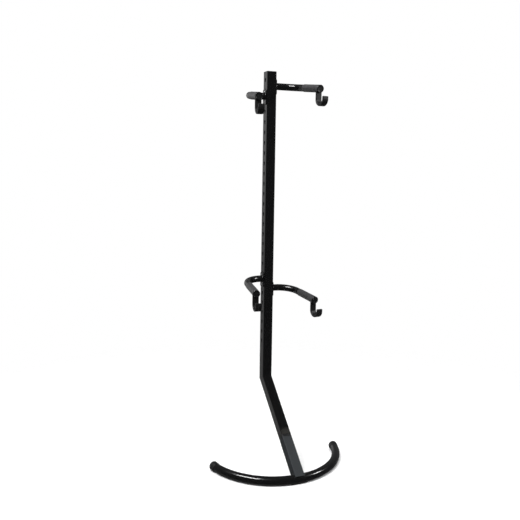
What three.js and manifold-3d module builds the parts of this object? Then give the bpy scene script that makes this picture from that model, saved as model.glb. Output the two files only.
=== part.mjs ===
// A storage tower for two bicycles: a square steel post leans on the wall, a mitred leg carries it
// down to a curved floor tube, and four curved arms hook into keyholes in the sides of the post.
// Millimetres, +Z up. The wall is on the +Y side and the bicycles hang on the -Y side.

import * as THREE from "three";
import { mergeVertices } from "three/addons/utils/BufferGeometryUtils.js";
import Module from "manifold-3d";

const wasm = await Module();
wasm.setup();

// Fits
const gap = 0.3; // between pieces that touch, such as a weld face or a seated screw
const overrun = 5; // how far a cutter runs past what it cuts
const weldTolerance = 1e-4;

// Post and leg: one size of square tube, in four lengths
const postWidth = 50;
const postWall = 1.2;
const postCorner = 4; // outside corner radius
const postTop = 1953; // height of the steel, under the top cap
const mitreHeight = 396; // where the centre lines of post and leg meet
const jointSleeveLength = 120; // inner sleeve across the joint of the post
const legSleeveLength = 150; // inner sleeve across the joint of the leg
const sleeveWall = 2.5;

// Keyholes in both sides of the post
const keyholePitch = 50.8;
const keyholeTopDrop = 35; // from the top of the post to the centre of the highest round entry
const keyholeFootRise = 180; // least height of the lowest one above the mitre
const entryRadius = 7;
const slotRadius = 4.3;
const slotDrop = 9; // from the entry's centre down to the stud's seat

// Leg joint: a band between the foot stub and the leg
const stubLength = 208; // from the axis of the floor tube
const bandLength = 12.5;

// Floor tube: an arc, open towards the wall
const baseRadius = 343;
const baseReach = 418; // from the post's axis to the front of the arc
const baseTubeRadius = 20.65;
const baseTubeWall = 7; // heavy, so that the tower stands by itself when it is empty
const baseHeight = 22.5; // height of the tube's axis
const baseHalfAngle = 78;
const baseSegments = 24;
const baseSides = 20;
const baseBoreSides = 10;

// Rubber caps on the ends of the floor tube, and the strip under its front
const footWall = 2.1;
const footLength = 28;
const footDome = 11;
const stripSegments = 2; // the strip spans this many segments of the arc
const stripSides = 3; // and this many sides of the tube

// Arms
const armTubeRadius = 16.85;
const armTubeWall = 2;
const armStart = 15; // straight, beside the bracket
const armBendRadius = 93; // on the centre line
const armBendAngle = 83;
const armBendSegments = 7;
const armReach = 157; // straight, after the bend
const armDroopAngle = 6.8; // below level, towards the front
const armSides = 16;
const armBoreSides = 10;
const armRise = 4; // of the tube's axis above the middle of the two studs
const armSleeveWall = 1.2;
const armSleeveLength = 134;

// Where the arms hang: the lower keyhole of each pair, counted down from the top
const upperArmIndex = 1;
const lowerArmShare = 0.79; // of the row of keyholes
const armStaggerCount = 1; // keyholes between the two arms of a pair

// Arm brackets and their headed studs
const bracketThickness = 4.5;
const bracketWidth = 38;
const bracketHeight = 74;
const bracketCorner = 8;
const studRadius = 4;
const studHeadRadius = 6.4;
const studHeadHeight = 3;
const rivetRadius = 5;
const rivetHeight = 1.4;
const studSides = 10;

// End cap of an arm
const endRim = 4;
const endDish = 1.6;
const endPlugLength = 14;
const endPlugWall = 2.2;

// Cradle hook under the end of an arm
const hookWidth = 26;
const hookThickness = 5;
const hookCoat = 2.5; // rubber round the steel
const hookClearRadius = 22.5; // inside the rubber
const hookDepth = 49.5; // from the arm's axis down to the centre of the cradle
const hookLip = 12; // height of the front lip above that centre
const hookSetback = 10; // of the steel's front face behind the end of the tube
const hookSegments = 10;

// Top cap of the post
const capPlate = 4;
const capPlug = 18;
const capPlugWall = 2.4;
const capChamfer = 1.2;

// Joint bolts and nuts
const boltRadius = 4;
const boltHeadRadius = 7;
const boltHeadHeight = 4.2;
const boltSocketRadius = 2.5;
const boltSocketDepth = 2.6;
const boltSides = 12;
const nutAcrossFlats = 13;
const nutHeight = 6.5;
const postBoltSpacing = 80;
const legBoltSpacing = 100;

// Rubber wall buffers and their screws
const bufferSize = 34;
const bufferCorner = 6;
const bufferThickness = 8;
const bufferChamfer = 1.5;
const bufferTopDrop = 118; // below the top of the post
const bufferBottomRise = 110; // above the mitre
const screwRadius = 2;
const screwLength = 16;
const screwHeadRadius = 4.4;
const screwHeadHeight = 2.6;
const screwSeat = 3; // rubber left under the screw's head

// Colours and finishes
const blackPaint = { color: 0x0c0d0f, roughness: 0.28, metalness: 0.35 };
const satinPaint = { color: 0x24272a, roughness: 0.5, metalness: 0.3 };
const greyRubber = { color: 0x4a4846, roughness: 0.8, metalness: 0 };
const blackRubber = { color: 0x141415, roughness: 0.65, metalness: 0 };
const blackPlastic = { color: 0x101012, roughness: 0.45, metalness: 0 };
const zincSteel = { color: 0xa9adb2, roughness: 0.35, metalness: 0.9 };

// Worked out from the sizes above
const degrees = Math.PI / 180;
const postHalf = postWidth / 2;
const postBore = postWidth - 2 * postWall;
const boreCorner = postCorner - postWall;
const arcCentreY = baseRadius - baseReach;
const legRise = mitreHeight - baseHeight;
const legLength = Math.hypot(legRise, baseReach);
const legAngle = Math.atan2(baseReach, legRise);
const mitreSlope = Math.tan(legAngle / 2);
const legStart = stubLength + bandLength;
const topKeyholeHeight = postTop - keyholeTopDrop;
const keyholeRow = topKeyholeHeight - mitreHeight - keyholeFootRise;
const keyholeCount = Math.floor(keyholeRow / keyholePitch) + 1;
const keyholesAboveJoint = Math.floor(keyholeCount / 2);
const jointHeight = topKeyholeHeight - (keyholesAboveJoint - 0.5) * keyholePitch - slotDrop / 2;
const lowerArmIndex = Math.floor(keyholeCount * lowerArmShare);
const frontFace = -(baseReach + baseTubeRadius * Math.cos(Math.PI / baseSides));
const wallFace = postHalf + gap + bufferThickness;

// Helpers for outlines. An outline drawn inside its circle is a shaft, one drawn around it is a
// hole, so that a shaft in a hole of its own radius never cuts into it.

function point(x, y) {
  return new THREE.Vector2(x, y);
}

function arcInside(x, y, radius, from, to, steps) {
  const points = [];
  for (let i = 0; i <= steps; i++) {
    const angle = from + ((to - from) * i) / steps;
    points.push(point(x + radius * Math.cos(angle), y + radius * Math.sin(angle)));
  }
  return points;
}

function arcAround(x, y, radius, from, to, steps) {
  const half = (to - from) / steps / 2;
  const reach = radius / Math.cos(half);
  const inner = arcInside(x, y, reach, from + half, to - half, steps - 1);
  const ends = arcInside(x, y, radius, from, to, 1);
  return [ends[0], ...inner, ends[1]];
}

function circleInside(radius, sides) {
  const half = Math.PI / sides;
  return arcInside(0, 0, radius, half, 2 * Math.PI - half, sides - 1);
}

function circleAround(radius, sides) {
  return circleInside(radius / Math.cos(Math.PI / sides), sides);
}

function roundedRectangle(width, height, corner, steps) {
  const x = width / 2 - corner;
  const y = height / 2 - corner;
  const quarter = Math.PI / 2;
  return [
    ...arcInside(x, y, corner, 0, quarter, steps),
    ...arcInside(-x, y, corner, quarter, 2 * quarter, steps),
    ...arcInside(-x, -y, corner, 2 * quarter, 3 * quarter, steps),
    ...arcInside(x, -y, corner, 3 * quarter, 4 * quarter, steps),
  ];
}

function outline(points, hole) {
  const shape = new THREE.Shape(points);
  if (hole) shape.holes.push(new THREE.Path(hole));
  return shape;
}

// Helpers for solids

function prism(shape, from, to) {
  const geometry = new THREE.ExtrudeGeometry(shape, { depth: to - from, bevelEnabled: false });
  return geometry.translate(0, 0, from);
}

// An outline drawn in Y and Z, pushed along X
function prismAlongX(shape, from, to) {
  const turn = new THREE.Matrix4().makeBasis(
    new THREE.Vector3(0, 1, 0),
    new THREE.Vector3(0, 0, 1),
    new THREE.Vector3(1, 0, 0),
  );
  return prism(shape, from, to).applyMatrix4(turn);
}

// An outline drawn in X and Z, pushed along Y
function prismAlongY(shape, from, to) {
  return prism(shape, -to, -from).rotateX(Math.PI / 2);
}

// A path through given stations, so that every bend starts and ends on a section
class StationPath extends THREE.Curve {
  constructor(stations) {
    super();
    this.stations = stations;
  }
  station(u) {
    return this.stations[Math.round(u * (this.stations.length - 1))];
  }
  getPointAt(u, target = new THREE.Vector3()) {
    return target.copy(this.station(u).point);
  }
  getTangentAt(u, target = new THREE.Vector3()) {
    return target.copy(this.station(u).direction);
  }
}

function sweep(shape, stations) {
  return new THREE.ExtrudeGeometry(shape, {
    steps: stations.length - 1,
    bevelEnabled: false,
    extrudePath: new StationPath(stations),
  });
}

// A profile of radius and height, turned about Y
function turned(profile, sides) {
  const points = profile.map(([radius, height]) => point(radius, height));
  return new THREE.LatheGeometry(points, sides);
}

function solid(geometry) {
  const plain = geometry.index ? geometry.toNonIndexed() : geometry.clone();
  plain.deleteAttribute("normal");
  plain.deleteAttribute("uv");
  const merged = mergeVertices(plain, weldTolerance);
  const vertProperties = merged.attributes.position.array;
  const triVerts = new Uint32Array(merged.index.array);
  return new wasm.Manifold(new wasm.Mesh({ numProp: 3, vertProperties, triVerts }));
}

function cut(geometry, cutters) {
  const body = cutters.reduce((rest, cutter) => rest.subtract(solid(cutter)), solid(geometry));
  return surface(body);
}

function join(first, second) {
  return surface(solid(first).add(solid(second)));
}

function surface(body) {
  const mesh = body.getMesh();
  const geometry = new THREE.BufferGeometry();
  geometry.setAttribute("position", new THREE.BufferAttribute(mesh.vertProperties, mesh.numProp));
  geometry.setIndex(new THREE.BufferAttribute(mesh.triVerts, 1));
  const faceted = geometry.toNonIndexed();
  faceted.computeVertexNormals();
  return faceted;
}

function piece(name, geometry, finish) {
  const mesh = new THREE.Mesh(geometry, new THREE.MeshStandardMaterial(finish));
  mesh.name = name;
  return mesh;
}

function group(...children) {
  const made = new THREE.Group();
  made.add(...children);
  return made;
}

// Square tube

function squareTube(width, wall, corner, from, to) {
  const outside = roundedRectangle(width, width, corner, 2);
  const inside = roundedRectangle(width - 2 * wall, width - 2 * wall, corner - wall, 1);
  return prism(outline(outside, inside), from, to);
}

// Slopes one end of a straight tube across Y, for a mitre
function mitred(geometry, end, slope) {
  const positions = geometry.attributes.position;
  for (let i = 0; i < positions.count; i++) {
    if (Math.abs(positions.getZ(i) - end) > gap) continue;
    positions.setZ(i, end + slope * positions.getY(i));
  }
  return geometry;
}

// A hole for a bolt or screw through the wall on the +Y side
function wallBore(radius, height) {
  const shape = outline(circleAround(radius, boltSides));
  return prismAlongY(shape, 0, postHalf + overrun).translate(0, 0, height);
}

// Keyholes

function keyholeOutline() {
  const meet = Math.asin(slotRadius / entryRadius);
  const down = -Math.PI / 2;
  const entry = arcInside(0, 0, entryRadius, down + meet, down + 2 * Math.PI - meet, 6);
  const seat = arcAround(0, -slotDrop, slotRadius, -Math.PI, 0, 3);
  return outline([...entry, ...seat]);
}

function keyholeHeight(index) {
  return topKeyholeHeight - index * keyholePitch;
}

function seatHeight(index) {
  return keyholeHeight(index) - slotDrop;
}

function keyholes(first, last) {
  const cutters = [];
  for (let i = first; i <= last; i++) {
    const cutter = prismAlongX(keyholeOutline(), -postHalf - overrun, postHalf + overrun);
    cutters.push(cutter.translate(0, 0, keyholeHeight(i)));
  }
  return cutters;
}

// Floor tube

function arcStation(angle) {
  return {
    point: new THREE.Vector3(
      baseRadius * Math.sin(angle),
      arcCentreY - baseRadius * Math.cos(angle),
      baseHeight,
    ),
    direction: new THREE.Vector3(Math.cos(angle), Math.sin(angle), 0),
  };
}

const arcStep = (2 * baseHalfAngle * degrees) / baseSegments;

function arcStations(first, last) {
  const stations = [];
  for (let i = first; i <= last; i++) stations.push(arcStation(i * arcStep));
  return stations;
}

const arcEnd = baseSegments / 2;

function segmentsAcross(length) {
  return Math.ceil(length / (arcStep * baseRadius)) + 1;
}

function baseTube() {
  const outside = circleInside(baseTubeRadius, baseSides);
  const bore = circleAround(baseTubeRadius - baseTubeWall, baseBoreSides);
  return sweep(outline(outside, bore), arcStations(-arcEnd, arcEnd));
}

function baseClearance(first, last) {
  return sweep(outline(circleInside(baseTubeRadius + gap, baseSides)), arcStations(first, last));
}

// A strip of rubber under the front of the arc: its top follows the sides of the tube
function frontStrip() {
  const side = (2 * Math.PI) / baseSides;
  const half = (stripSides * side) / 2;
  const down = -Math.PI / 2;
  const saddle = arcInside(0, 0, baseTubeRadius + gap, down + half, down - half, stripSides);
  const left = saddle[stripSides].x;
  const right = saddle[0].x;
  const sole = [point(left, -baseHeight), point(right, -baseHeight)];
  const path = arcStations(-stripSegments / 2, stripSegments / 2);
  const across = (p) => point(-p.y, p.x);
  return sweep(outline([...saddle, ...sole].map(across)), path);
}

// A rubber cap over each end of the floor tube, flat underneath where it stands
function footCap(side) {
  const radius = baseTubeRadius + gap + footWall;
  const coverAngle = footLength / baseRadius;
  const endAngle = baseHalfAngle * degrees + gap / baseRadius;
  const stations = [endAngle - coverAngle, endAngle - coverAngle / 2, endAngle].map((angle) =>
    arcStation(side * angle),
  );
  if (side < 0) stations.reverse();
  const cover = sweep(outline(circleInside(radius, baseSides)), stations);
  const rim = footDome / 4;
  const dome = turned(
    [
      [0, -rim],
      [radius, -rim],
      [radius, 0],
      [radius * Math.cos(30 * degrees), footDome / 2],
      [radius * Math.cos(60 * degrees), footDome * Math.sin(60 * degrees)],
      [0, footDome],
    ],
    baseSides,
  );
  const end = arcStation(side * endAngle);
  const outwards = end.direction.clone().multiplyScalar(side);
  dome.rotateY(Math.PI / baseSides);
  dome.applyQuaternion(
    new THREE.Quaternion().setFromUnitVectors(new THREE.Vector3(0, 1, 0), outwards),
  );
  dome.translate(...end.point);
  const floor = new THREE.BoxGeometry(2 * baseRadius, 2 * baseRadius, 2 * overrun);
  floor.translate(end.point.x, end.point.y, -overrun);
  const covered = arcEnd - segmentsAcross(footLength);
  const inside = side > 0 ? baseClearance(covered, arcEnd) : baseClearance(-arcEnd, -covered);
  return cut(join(cover, dome), [inside, floor]);
}

// Leg parts: drawn straight up from the axis of the floor tube, then leaned back with the leg

const leg = new THREE.Group();
leg.position.set(0, -baseReach, baseHeight);
leg.rotation.x = -legAngle;
leg.updateMatrixWorld(true);

const legBoltHeights = [-1, 1].map(
  (end) => stubLength + bandLength / 2 + (end * legBoltSpacing) / 2,
);

function legStub() {
  const tube = squareTube(postWidth, postWall, postCorner, 0, stubLength);
  const reach = segmentsAcross(postHalf);
  const foot = baseClearance(-reach, reach).applyMatrix4(leg.matrixWorld.clone().invert());
  return cut(tube, [foot, wallBore(boltRadius + gap, legBoltHeights[0])]);
}

function legBand() {
  return squareTube(postWidth, postWall, postCorner, stubLength + gap, legStart - gap);
}

function innerSleeve(centre, length, cutters) {
  const width = postBore - 2 * gap;
  const corner = boreCorner + sleeveWall / 2;
  const tube = squareTube(width, sleeveWall, corner, centre - length / 2, centre + length / 2);
  return cut(tube, cutters);
}

function legSleeve() {
  const bores = legBoltHeights.map((height) => wallBore(boltRadius + gap, height));
  return innerSleeve(stubLength + bandLength / 2, legSleeveLength, bores);
}

function legTube() {
  const straight = squareTube(postWidth, postWall, postCorner, legStart, legLength - gap / 2);
  const bore = wallBore(boltRadius + gap, legBoltHeights[1]);
  return cut(mitred(straight, legLength - gap / 2, mitreSlope), [bore]);
}

// Post parts

const postBoltHeights = [-1, 1].map((end) => jointHeight + (end * postBoltSpacing) / 2);
const bufferHeights = [postTop - bufferTopDrop, mitreHeight + bufferBottomRise];

function postLower() {
  const foot = mitreHeight + gap / 2;
  const tube = squareTube(postWidth, postWall, postCorner, foot, jointHeight - gap / 2);
  return cut(mitred(tube, foot, -mitreSlope), [
    ...keyholes(keyholesAboveJoint, keyholeCount - 1),
    wallBore(boltRadius + gap, postBoltHeights[0]),
    wallBore(screwRadius + gap, bufferHeights[1]),
  ]);
}

function postUpper() {
  const tube = squareTube(postWidth, postWall, postCorner, jointHeight + gap / 2, postTop);
  return cut(tube, [
    ...keyholes(0, keyholesAboveJoint - 1),
    wallBore(boltRadius + gap, postBoltHeights[1]),
    wallBore(screwRadius + gap, bufferHeights[0]),
  ]);
}

// The sleeve across the post's joint is slotted, so that stud heads pass beside it
function postSleeve() {
  const clear = studHeadRadius + 4 * gap;
  const top = keyholeHeight(keyholesAboveJoint - 1) + clear;
  const bottom = seatHeight(keyholesAboveJoint) - clear;
  const slot = roundedRectangle(2 * clear, top - bottom, clear / 2, 2);
  const cutter = prismAlongX(outline(slot), -postHalf, postHalf);
  cutter.translate(0, 0, (top + bottom) / 2);
  const bores = postBoltHeights.map((height) => wallBore(boltRadius + gap, height));
  return innerSleeve(jointHeight, jointSleeveLength, [cutter, ...bores]);
}

// A moulded cap: a chamfered plate on the post with a hollow plug inside it
function postCap() {
  const plate = prism(
    outline(roundedRectangle(postWidth, postWidth, postCorner, 2)),
    gap,
    capPlate - capChamfer,
  );
  const crownWidth = postWidth - 2 * capChamfer;
  const crown = prism(
    outline(roundedRectangle(crownWidth, crownWidth, postCorner, 2)),
    capPlate - 2 * capChamfer,
    capPlate,
  );
  const plugCorner = boreCorner + capPlugWall / 2;
  const plug = squareTube(postBore - 2 * gap, capPlugWall, plugCorner, -capPlug, capPlate / 2);
  return join(join(plate, crown), plug).translate(0, 0, postTop);
}

// Fasteners: each is turned about Y with its head on the +Y side, seated on a face at Y = 0

function bolt(length) {
  return turned(
    [
      [0, -length],
      [boltRadius, -length],
      [boltRadius, gap],
      [boltHeadRadius, gap],
      [boltHeadRadius, boltHeadHeight / 3],
      [boltHeadRadius * Math.cos(45 * degrees), boltHeadHeight],
      [boltSocketRadius, boltHeadHeight],
      [boltSocketRadius, boltHeadHeight - boltSocketDepth],
      [0, boltHeadHeight - boltSocketDepth],
    ],
    boltSides,
  );
}

function nut() {
  const corner = nutAcrossFlats / 2 / Math.cos(Math.PI / 6);
  const shape = outline(circleInside(corner, 6), circleAround(boltRadius + gap, boltSides));
  return prismAlongY(shape, -nutHeight, 0);
}

function screw() {
  return turned(
    [
      [0, -screwLength],
      [screwRadius, screwRadius - screwLength],
      [screwRadius, 0],
      [screwHeadRadius, 0],
      [screwHeadRadius, screwHeadHeight / 2],
      [screwHeadRadius / 2, screwHeadHeight],
      [0, screwHeadHeight],
    ],
    boltSides,
  );
}

// One bolt through the tube's wall and the inner sleeve, with its nut behind them
function boltedPair(name, height) {
  const nutFace = postHalf - postWall - gap - sleeveWall - gap;
  const boltLength = postHalf - nutFace + nutHeight;
  const boltPiece = piece(name + "_bolt", bolt(boltLength), blackPaint);
  boltPiece.position.set(0, postHalf, height);
  const nutPiece = piece(name + "_nut", nut(), zincSteel);
  nutPiece.position.set(0, nutFace, height);
  return group(boltPiece, nutPiece);
}

function wallBuffer(name, height) {
  const thick = bufferThickness;
  const block = prismAlongY(
    outline(roundedRectangle(bufferSize, bufferSize, bufferCorner, 2)),
    gap,
    thick - bufferChamfer + gap,
  );
  const faceSize = bufferSize - 2 * bufferChamfer;
  const face = prismAlongY(
    outline(roundedRectangle(faceSize, faceSize, bufferCorner - bufferChamfer, 2)),
    thick - 2 * bufferChamfer + gap,
    thick + gap,
  );
  const bore = prismAlongY(outline(circleAround(screwRadius + gap, boltSides)), -overrun, thick + overrun);
  const recess = prismAlongY(
    outline(circleAround(screwHeadRadius + gap, boltSides)),
    screwSeat,
    thick + overrun,
  );
  const rubber = piece(name, cut(join(block, face), [bore, recess]), blackRubber);
  const fastener = piece(name + "_screw", screw(), zincSteel);
  fastener.position.y = screwSeat + gap;
  const made = group(rubber, fastener);
  made.position.set(0, postHalf, height);
  return made;
}

// Arms: drawn from the bracket's outer face, level, with the tube bending from the side to the front

function armStations(side) {
  const stations = [];
  const bend = armBendAngle * degrees;
  const place = (x, y, angle) => {
    stations.push({
      point: new THREE.Vector3(side * x, -y, 0),
      direction: new THREE.Vector3(side * Math.cos(angle), -Math.sin(angle), 0),
    });
  };
  place(gap, 0, 0);
  for (let i = 0; i <= armBendSegments; i++) {
    const angle = (bend * i) / armBendSegments;
    place(
      armStart + armBendRadius * Math.sin(angle),
      armBendRadius * (1 - Math.cos(angle)),
      angle,
    );
  }
  const bendEnd = stations[stations.length - 1].point;
  place(
    side * bendEnd.x + armReach * Math.cos(bend),
    -bendEnd.y + armReach * Math.sin(bend),
    bend,
  );
  return stations;
}

function armTube(stations) {
  const outside = circleInside(armTubeRadius, armSides);
  const bore = circleAround(armTubeRadius - armTubeWall, armBoreSides);
  return sweep(outline(outside, bore), stations);
}

// What an arm carries at its end is drawn with the end of the tube at the origin and the tube's
// axis along Y, the tube lying on the +Y side.

function armSleeve() {
  const outside = circleInside(armTubeRadius + armSleeveWall + gap, armSides);
  const inside = circleInside(armTubeRadius + gap, armSides);
  const sleeve = prismAlongY(outline(outside, inside), gap, armSleeveLength);
  const room = hookOutline(hookMiddle, hookThickness + 2 * (hookCoat + gap), 0, 0);
  const notchHalf = hookWidth / 2 + hookCoat + gap;
  const notch = prismAlongX(room, -notchHalf, notchHalf).rotateX(-armDroopAngle * degrees);
  return cut(sleeve, [notch]);
}

function endCap() {
  const rimRadius = armTubeRadius + gap + armSleeveWall;
  const plugRadius = armTubeRadius - armTubeWall - gap;
  const plugBore = plugRadius - endPlugWall;
  return turned(
    [
      [0, endDish - endRim],
      [rimRadius / 2, endDish - endRim],
      [rimRadius - 2 * endDish, -endRim],
      [rimRadius - endDish / 2, -endRim],
      [rimRadius, endDish / 2 - endRim],
      [rimRadius, 0],
      [plugRadius, 0],
      [plugRadius, endPlugLength],
      [plugBore, endPlugLength],
      [plugBore, endDish],
      [0, endDish],
    ],
    armSides,
  );
}

// The side view of the cradle hook, in Y (towards the arm) and Z: a strip as thick as asked,
// down behind the cradle, round under it and up to the lip.
function hookOutline(middle, thick, lipExtra, top) {
  const centreY = hookSetback - hookCoat - hookClearRadius;
  const outer = middle + thick / 2;
  const inner = middle - thick / 2;
  const lip = -hookDepth + hookLip + lipExtra;
  return outline([
    point(centreY + inner, top),
    ...arcInside(centreY, -hookDepth, inner, 0, -Math.PI, hookSegments),
    point(centreY - inner, lip),
    point(centreY - middle, lip + thick / 4),
    point(centreY - outer, lip),
    ...arcInside(centreY, -hookDepth, outer, -Math.PI, 0, hookSegments),
    point(centreY + outer, top),
  ]);
}

const hookMiddle = hookClearRadius + hookCoat + hookThickness / 2;

// The end of the arm droops, and the hook hangs straight down from it
function droopedTubeClearance() {
  const shape = outline(circleInside(armTubeRadius + gap, armSides));
  const tube = prismAlongY(shape, -hookDepth, hookDepth + hookClearRadius);
  return tube.rotateX(armDroopAngle * degrees);
}

function hookSteel() {
  const shape = hookOutline(hookMiddle, hookThickness, -hookCoat, 0);
  const strap = prismAlongX(shape, -hookWidth / 2, hookWidth / 2);
  return cut(strap, [droopedTubeClearance()]);
}

function hookRubber() {
  const half = hookWidth / 2;
  const coat = hookOutline(hookMiddle, hookThickness + 2 * hookCoat, 0, -armTubeRadius / 2);
  const skin = prismAlongX(coat, -half - hookCoat, half + hookCoat);
  const room = hookOutline(hookMiddle, hookThickness + 2 * gap, gap - hookCoat, 0);
  const core = prismAlongX(room, -half - gap, half + gap);
  return cut(skin, [core, droopedTubeClearance()]);
}

function bracket() {
  const plate = prismAlongX(
    outline(roundedRectangle(bracketWidth, bracketHeight, bracketCorner, 2)),
    -bracketThickness,
    0,
  );
  const bores = [-1, 1].map((end) =>
    prismAlongX(
      outline(circleAround(studRadius + gap, studSides)),
      -bracketThickness - overrun,
      overrun,
    ).translate(0, 0, (end * keyholePitch) / 2),
  );
  return cut(plate, bores);
}

// A headed stud, riveted through the bracket, its head behind the wall of the post
function stud() {
  const headFace = bracketThickness + gap + postWall + gap;
  return turned(
    [
      [0, -headFace - studHeadHeight],
      [studHeadRadius, -headFace - studHeadHeight],
      [studHeadRadius, -headFace],
      [studRadius, -headFace],
      [studRadius, gap],
      [rivetRadius, gap],
      [rivetRadius / 2, rivetHeight],
      [0, rivetHeight],
    ],
    studSides,
  );
}

function arm(name, side, lowerKeyhole) {
  const stations = armStations(side);
  const end = stations[stations.length - 1];
  const toFront = Math.atan2(end.direction.x, -end.direction.y);

  const tube = group(piece(name + "_tube", armTube(stations), blackPaint));
  const fittings = group(
    piece(name + "_sleeve", armSleeve(), greyRubber),
    piece(name + "_end_cap", endCap().translate(0, -gap, 0), blackPlastic),
  );
  fittings.position.copy(end.point);
  fittings.rotation.z = toFront;
  tube.add(fittings);
  tube.rotation.x = armDroopAngle * degrees;

  const hook = group(
    piece(name + "_hook", hookSteel(), blackPaint),
    piece(name + "_hook_rubber", hookRubber(), blackRubber),
  );
  hook.position.copy(end.point).applyAxisAngle(new THREE.Vector3(1, 0, 0), tube.rotation.x);
  hook.rotation.z = toFront;

  const mount = group(piece(name + "_bracket", bracket(), blackPaint));
  for (const [place, at] of [["lower", -1], ["upper", 1]]) {
    const rivet = piece(name + "_" + place + "_stud", stud(), zincSteel);
    rivet.rotation.z = -Math.PI / 2;
    rivet.position.z = (at * keyholePitch) / 2;
    mount.add(rivet);
  }
  if (side < 0) mount.rotation.z = Math.PI;
  mount.position.z = -armRise;

  const whole = group(tube, hook, mount);
  const middle = (seatHeight(lowerKeyhole) + seatHeight(lowerKeyhole - 1)) / 2;
  whole.position.set(side * (postHalf + gap + bracketThickness), 0, middle + armRise);
  return whole;
}

// The tower

leg.add(
  piece("leg_stub", legStub(), satinPaint),
  piece("leg_band", legBand(), blackPlastic),
  piece("leg_sleeve", legSleeve(), blackPaint),
  piece("leg_tube", legTube(), blackPaint),
  boltedPair("leg_lower", legBoltHeights[0]),
  boltedPair("leg_upper", legBoltHeights[1]),
);

const tower = group(
  piece("base_tube", baseTube(), blackPaint),
  piece("base_cap_left", footCap(-1), blackRubber),
  piece("base_cap_right", footCap(1), blackRubber),
  piece("floor_strip", frontStrip(), blackRubber),
  leg,
  piece("post_lower", postLower(), blackPaint),
  piece("post_sleeve", postSleeve(), blackPaint),
  piece("post_upper", postUpper(), blackPaint),
  piece("post_cap", postCap(), blackPlastic),
  boltedPair("post_lower", postBoltHeights[0]),
  boltedPair("post_upper", postBoltHeights[1]),
  wallBuffer("wall_buffer_upper", bufferHeights[0]),
  wallBuffer("wall_buffer_lower", bufferHeights[1]),
  arm("upper_right_arm", 1, upperArmIndex),
  arm("upper_left_arm", -1, upperArmIndex + armStaggerCount),
  arm("lower_right_arm", 1, lowerArmIndex),
  arm("lower_left_arm", -1, lowerArmIndex - armStaggerCount),
);

// The origin is on the floor, under the middle of the tower's depth
tower.position.y = -(frontFace + wallFace) / 2;

export default group(tower);
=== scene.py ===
# A storage tower for two bicycles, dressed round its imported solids: black powder-coated steel
# tube, grey rubber sleeves, black rubber hooks and floor caps, and zinc-plated studs and nuts.
# The frame is in metres, +Z up, with the wall on the +Y side. Sizes below are in millimetres.

import math

import bmesh
import bpy
from mathutils import Matrix, Vector


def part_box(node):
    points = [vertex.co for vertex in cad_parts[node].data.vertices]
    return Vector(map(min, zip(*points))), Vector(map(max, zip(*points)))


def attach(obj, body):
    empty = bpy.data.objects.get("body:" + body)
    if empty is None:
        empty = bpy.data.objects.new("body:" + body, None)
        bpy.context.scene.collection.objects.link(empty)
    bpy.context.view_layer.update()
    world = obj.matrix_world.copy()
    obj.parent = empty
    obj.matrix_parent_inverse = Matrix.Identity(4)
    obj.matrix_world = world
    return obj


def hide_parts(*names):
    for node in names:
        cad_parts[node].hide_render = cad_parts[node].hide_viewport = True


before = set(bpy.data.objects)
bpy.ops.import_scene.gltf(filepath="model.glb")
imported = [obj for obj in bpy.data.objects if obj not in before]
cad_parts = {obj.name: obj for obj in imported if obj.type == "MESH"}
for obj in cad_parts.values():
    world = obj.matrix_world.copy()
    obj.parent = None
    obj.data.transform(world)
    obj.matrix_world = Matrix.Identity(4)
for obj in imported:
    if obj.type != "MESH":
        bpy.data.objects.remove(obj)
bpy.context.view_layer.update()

MM = 0.001
GAP = 0.3  # between pieces that touch
CUT_PAST = 5.0  # how far a cutter reaches past what it cuts

# Post and leg, square tube
POST_WIDTH = 50.0
POST_HALF = POST_WIDTH / 2
POST_WALL = 1.2
POST_CORNER = 4.0
POST_TOP = 1953.0
MITRE_HEIGHT = 396.0
CUT_EDGE = 0.35  # the saw cut's edge, rounded by the coat
CORNER_STEPS = 8

# Keyholes in both sides of the post
KEYHOLE_PITCH = 50.8
KEYHOLE_COUNT = 27
KEYHOLES_ABOVE_JOINT = 13
TOP_KEYHOLE = 1918.0
ENTRY_RADIUS = 7.0
SLOT_RADIUS = 4.3
SLOT_DROP = 9.0

# Leg
STUB_LENGTH = 208.0
BAND_LENGTH = 12.5
BAND_RIM = 3.0  # the low rim at each end of the band

# Floor tube
BASE_RADIUS = 343.0
BASE_REACH = 418.0
BASE_TUBE_RADIUS = 20.65
BASE_TUBE_WALL = 7.0
BASE_HEIGHT = 22.5
BASE_HALF_ANGLE = math.radians(78)
CAP_WALL = 2.1
CAP_LIP = 0.9  # thickness of the cap's open edge
CAP_LENGTH = 28.0
CAP_DOME = 11.0
STRIP_HALF_ANGLE = math.radians(6.5)
STRIP_HALF_WIDTH = 9.5
GROOVE_DEPTH = 0.8

# Arms
ARM_RADIUS = 16.85
ARM_WALL = 2.0
ARM_START = 15.0
ARM_BEND_RADIUS = 93.0
ARM_BEND = math.radians(83)
ARM_REACH = 157.0
ARM_DROOP = math.radians(6.8)
ARM_RISE = 4.0
SLEEVE_WALL = 1.2
SLEEVE_LENGTH = 134.0
BRACKET_THICKNESS = 4.5
BRACKET_WIDTH = 38.0
BRACKET_HEIGHT = 74.0
BRACKET_CORNER = 8.0
STUD_RADIUS = 4.0
STUD_HEAD_RADIUS = 6.4
STUD_HEAD_HEIGHT = 3.0
RIVET_RADIUS = 5.0
RIVET_HEIGHT = 1.4
END_RIM = 4.0
END_DISH = 1.6
END_PLUG = 14.0
END_PLUG_WALL = 2.2

# Cradle hooks
HOOK_WIDTH = 31.0  # over the rubber
HOOK_THICKNESS = 10.0
HOOK_ROUNDING = 3.2
HOOK_CLEAR_RADIUS = 22.5
HOOK_DEPTH = 49.5
HOOK_LIP = 12.0
HOOK_SETBACK = 7.5  # of the rubber's cradle side behind the end of the tube

# Cap of the post
CAP_PLATE = 4.0
CAP_PLUG = 18.0
CAP_EDGE = 1.6

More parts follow.
